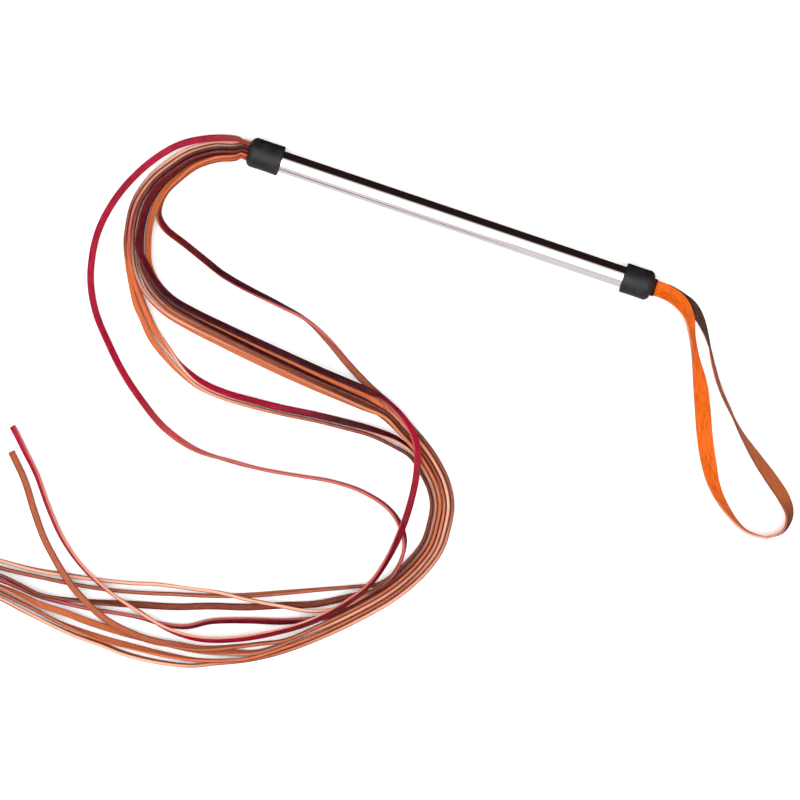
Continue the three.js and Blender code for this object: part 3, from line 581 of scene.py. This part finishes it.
def wheel(name, profile, count, rim=None):
    """A closed profile of x and radius, turned about the handle's axis. rim gives for each angle the
    radius that replaces the profile's where the profile's radius is negative, as a slot's wall."""
    x, radius = np.array(profile, float).T
    turn = np.linspace(0, 2 * math.pi, count, endpoint=False)
    hole = rim(turn) if rim else np.zeros(count)
    r = np.where(radius[:, None] < 0, hole, radius[:, None])
    ring = np.stack([np.broadcast_to(x[:, None], r.shape), r * np.cos(turn), AXIS_Z + r * np.sin(turn)], -1)
    n, m = r.shape
    i, j = np.meshgrid(np.arange(n), np.arange(m), indexing="ij")
    i2, j2 = (i + 1) % n, (j + 1) % m
    faces = np.stack([i * m + j, i * m + j2, i2 * m + j2, i2 * m + j], -1).reshape(-1, 4)
    return mesh_object(name, ring.reshape(-1, 3), faces.tolist())


def arc(x, radius, size, first, last, steps):
    """Points of a round about x and radius, from one angle in degrees to another: each is size times
    the cosine along and size times the sine out."""
    turn = np.radians(np.linspace(first, last, steps))
    return list(zip(x + size * np.cos(turn), radius + size * np.sin(turn)))


LIP = 0.25 * MM
tube = wheel("chrome_tube", [
    *arc(TUBE_HEAD_X + LIP, TUBE_RADIUS - LIP, LIP, 180, 90, 4),
    *arc(TUBE_HEEL_X - LIP, TUBE_RADIUS - LIP, LIP, 90, 0, 4),
    (TUBE_HEEL_X, BORE_RADIUS),
    (TUBE_HEAD_X, BORE_RADIUS),
], TUBE_SIDES)
chrome = Look("chromed steel", Metallic=1.0)
spot = chrome.node("ShaderNodeTexCoord", {}, {}, 3)
rubbed_and_sheen = chrome.noise(chrome.stretched(spot, (0.1, 1, 1)), 900.0, 4.0)
haze = chrome.noise(spot, 35.0, 3.0)
chrome.set(Base_Color=chrome.mix(haze, ink(232, 233, 236), ink(244, 244, 245)),
           Roughness=haze * 0.05 + rubbed_and_sheen * 0.05 + 0.03,
           Normal=chrome.bump(rubbed_and_sheen, 0.02, 0.05 * MM))
tube.data.materials.append(chrome.material)
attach(tube, "handle")
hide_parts("handle_tube")

# ---- the two ferrules ----
# Moulded black rubber, pushed over the tube's ends and glued. The head ferrule's slot is sized for
# nine thongs on edge, and the heel ferrule's for the strap folded double.
FERRULE_LENGTH = 25 * MM
FERRULE_SIDES = 192
END_WALL = 3 * MM
END_ROUND = 4.5 * MM
LIP_ROUND = 1 * MM
DOME = 2.5 * MM
SEAT_RADIUS = TUBE_RADIUS + 0.3 * MM
SLOT_ROUND = 0.5 * MM
EDGE_BREAK = 0.05 * MM
WAIST = 0.18 * MM
THONG_SLOT = (15.3 * MM, 11.7 * MM)
STRAP_SLOT = (12.8 * MM, 4.7 * MM)


def slot_rim(wide, tall):
    """The distance from the axis to a rectangle's side, for each angle round the axis."""
    def rim(turn):
        c, s = abs(np.cos(turn)), abs(np.sin(turn))
        return np.minimum(wide / 2 / np.maximum(c, 1e-6), tall / 2 / np.maximum(s, 1e-6))
    return rim


def ferrule(name, node, end_x, way, dome, rim, chamber_x, seat_x):
    """A cap turned about the handle's axis: lip, slightly waisted wall, rounded end and a face that
    rises to the slot, then the slot's wall, and the seat that grips the tube."""
    lip_x = end_x - way * FERRULE_LENGTH
    wall = np.linspace(0, 1, 13)[1:-1]
    start = lip_x + way * LIP_ROUND
    stop = end_x - way * (dome + END_ROUND)
    waist = WAIST * np.sin(wall * math.pi)
    profile = [
        (lip_x, SEAT_RADIUS),
        *[(lip_x + way * LIP_ROUND * (1 - math.cos(a)), FERRULE_RADIUS - LIP_ROUND * (1 - math.sin(a)))
          for a in np.radians(np.linspace(0, 90, 6))],
        *zip(start + (stop - start) * wall, FERRULE_RADIUS - waist),
        *[(stop + way * END_ROUND * math.sin(a), FERRULE_RADIUS - END_ROUND * (1 - math.cos(a)))
          for a in np.radians(np.linspace(0, 90, 9))],
        (end_x - way * EDGE_BREAK, -1),
        (end_x - way * (SLOT_ROUND + EDGE_BREAK), -1),
        (chamber_x, -1),
        (chamber_x, SEAT_RADIUS - 0.02 * MM),
        (seat_x, SEAT_RADIUS),
    ]
    if way > 0:
        profile.reverse()
    cap = wheel(name, profile, FERRULE_SIDES, rim)
    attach(cap, "handle")
    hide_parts(node)
    return cap


head = ferrule("head_cap", "head_ferrule", HEAD_X, -1, 0, slot_rim(*THONG_SLOT),
               HEAD_X + END_WALL, TUBE_HEAD_X - 0.3 * MM)
heel = ferrule("heel_cap", "heel_ferrule", HEEL_X, 1, DOME, slot_rim(*STRAP_SLOT),
               HEEL_X - DOME - END_WALL, HEEL_X - DOME - END_WALL - 0.1 * MM)
rubber = Look("black rubber", Specular_IOR_Level=0.22)
spot = rubber.node("ShaderNodeTexCoord", {}, {}, 3)
skin = rubber.noise(spot, 2600.0, 3.0, 0.6)
scuffs = rubber.noise(spot, 160.0, 5.0, 0.6)
rubber.set(Base_Color=rubber.mix(rubber.fade(scuffs, 0.4, 0.75), ink(20, 18, 18), ink(34, 33, 33)),
           Roughness=scuffs * 0.2 + 0.38, Normal=rubber.bump(skin + scuffs, 0.25, 0.08 * MM))
for cap in (head, heel):
    cap.data.materials.append(rubber.material)

# ---- the fixings inside the handle ----
# Beech plugs in the tube's ends, the thongs' and strap's own ends, and the rivet through the strap.
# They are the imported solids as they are, each with its finish.
beech = Look("beech", Roughness=0.6)
spot = beech.node("ShaderNodeTexCoord", {}, {}, 3)
rings = beech.noise(beech.stretched(spot, (0.08, 1, 1)), 900.0, 4.0)
beech.set(Base_Color=beech.mix(rings, ink(176, 132, 86), ink(214, 178, 132)),
          Normal=beech.bump(rings, 0.2, 0.1 * MM))


def cut_leather(name, dark, light):
    """Leather for the hidden ends: a fibrous mix of two colours."""
    look = Look(name, Roughness=0.7)
    spot = look.node("ShaderNodeTexCoord", {}, {}, 3)
    fibres = look.noise(look.stretched(spot, (0.2, 1, 1)), 900.0, 5.0)
    look.set(Base_Color=look.mix(fibres, dark, light), Normal=look.bump(fibres, 0.3, 0.1 * MM))
    return look.material


copper = Look("copper", Metallic=1.0)
spot = copper.node("ShaderNodeTexCoord", {}, {}, 3)
tarnish = copper.noise(spot, 500.0, 4.0)
copper.set(Base_Color=copper.mix(tarnish, ink(150, 84, 56), ink(206, 134, 96)), Roughness=tarnish * 0.3 + 0.2)
thong_end_leather = cut_leather("thong end leather", TONES["B"], TONES["T"])
strap_end_leather = cut_leather("strap end leather", ink(200, 90, 20), ink(232, 116, 34))
finishes = {"head_plug": beech.material, "heel_plug": beech.material, "strap_rivet": copper.material,
            "strap_tail_upper": strap_end_leather, "strap_tail_lower": strap_end_leather,
            **{f"thong_root_{i}": thong_end_leather for i in range(1, 10)}}
for node, finish in finishes.items():
    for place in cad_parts[node].material_slots:
        place.material = finish

# ---- the surface and the light ----
# A white table under a wide soft box and one from the side. Two glowing cards lie beside the handle
# that only reflections see, not the camera, shadows or diffuse light: they paint the polished tube's
# dark band and its grey one, a painted reflection.
table = mesh_object("table", [(-3, -3, 0), (3, -3, 0), (3, 3, 0), (-3, 3, 0)], [(0, 1, 2, 3)], smooth=False)
table.location.z = -0.2 * MM
paper = Look("white paper", Roughness=0.95, Specular_IOR_Level=0.05, Base_Color=ink(244, 244, 244))
table.data.materials.append(paper.material)


def card(name, side, low, high, shade, rim_shade, fade_from):
    """A glowing sheet that lies on the table beside the tube, on the +Y or -Y side, and turns up at low
    into a wall of the height high; only reflections see it, so it paints a band of reflection on the
    tube. Its glow turns from shade into rim_shade from the height fade_from up."""
    near, far, reach, lift = side * 9.5 * MM, side * low, 0.6, 0.5 * MM
    corners = [(-reach, near, lift), (reach, near, lift), (reach, far, lift), (-reach, far, lift),
               (reach, far, high), (-reach, far, high)]
    sheet = mesh_object(name, corners, [(0, 1, 2, 3), (3, 2, 4, 5)], smooth=False)
    look = Look(name, Roughness=1.0, Specular_IOR_Level=0.0, Base_Color=(0, 0, 0, 1), Emission_Strength=1.0)
    tall = look.node("ShaderNodeSeparateXYZ", {}, {0: look.node("ShaderNodeTexCoord", {}, {}, 3)}, 2)
    look.set(Emission_Color=look.mix(look.fade(tall, fade_from, high), shade, rim_shade))
    sheet.data.materials.append(look.material)
    sheet.visible_camera = sheet.visible_diffuse = sheet.visible_shadow = sheet.visible_transmission = False


# Painted reflections: the dark sheet gives the tube its dark band, the grey sheet its grey band.
card("painted_reflection_dark", 1, 0.5, 0.86, (0.020, 0.009, 0.008, 1), (0.9, 0.8, 0.75, 1), 0.5)
card("painted_reflection_grey", -1, 0.5, 0.40, (0.80, 0.72, 0.72, 1), (0.12, 0.1, 0.1, 1), 0.32)

world = bpy.data.worlds.new("studio")
world.use_nodes = True
world.node_tree.nodes["Background"].inputs["Color"].default_value = (1, 1, 1, 1)
world.node_tree.nodes["Background"].inputs["Strength"].default_value = 1.02
bpy.context.scene.world = world


def soft_box(name, place, aim, wide, tall, brightness):
    """A soft box turned to its aim; its power gives the brightness that a mirror shows."""
    data = bpy.data.lights.new(name, "AREA")
    data.shape, data.size, data.size_y = "RECTANGLE", wide, tall
    data.energy = brightness * math.pi * wide * tall
    light = bpy.data.objects.new(name, data)
    light.location = place
    x, y, z = np.array(aim) - np.array(place)
    light.rotation_euler = (math.atan2(math.hypot(x, y), -z), 0, math.atan2(y, x) - math.pi / 2)
    bpy.context.collection.objects.link(light)


soft_box("overhead", (0, -0.9, 3.2), (0, -0.9, 0), 3.4, 3.0, 3.7)
soft_box("side", (-1.2, -2.2, 1.2), (-1.2, 0, 0.2), 2.8, 1.7, 2.5)

bpy.context.scene.view_settings.view_transform = "Standard"
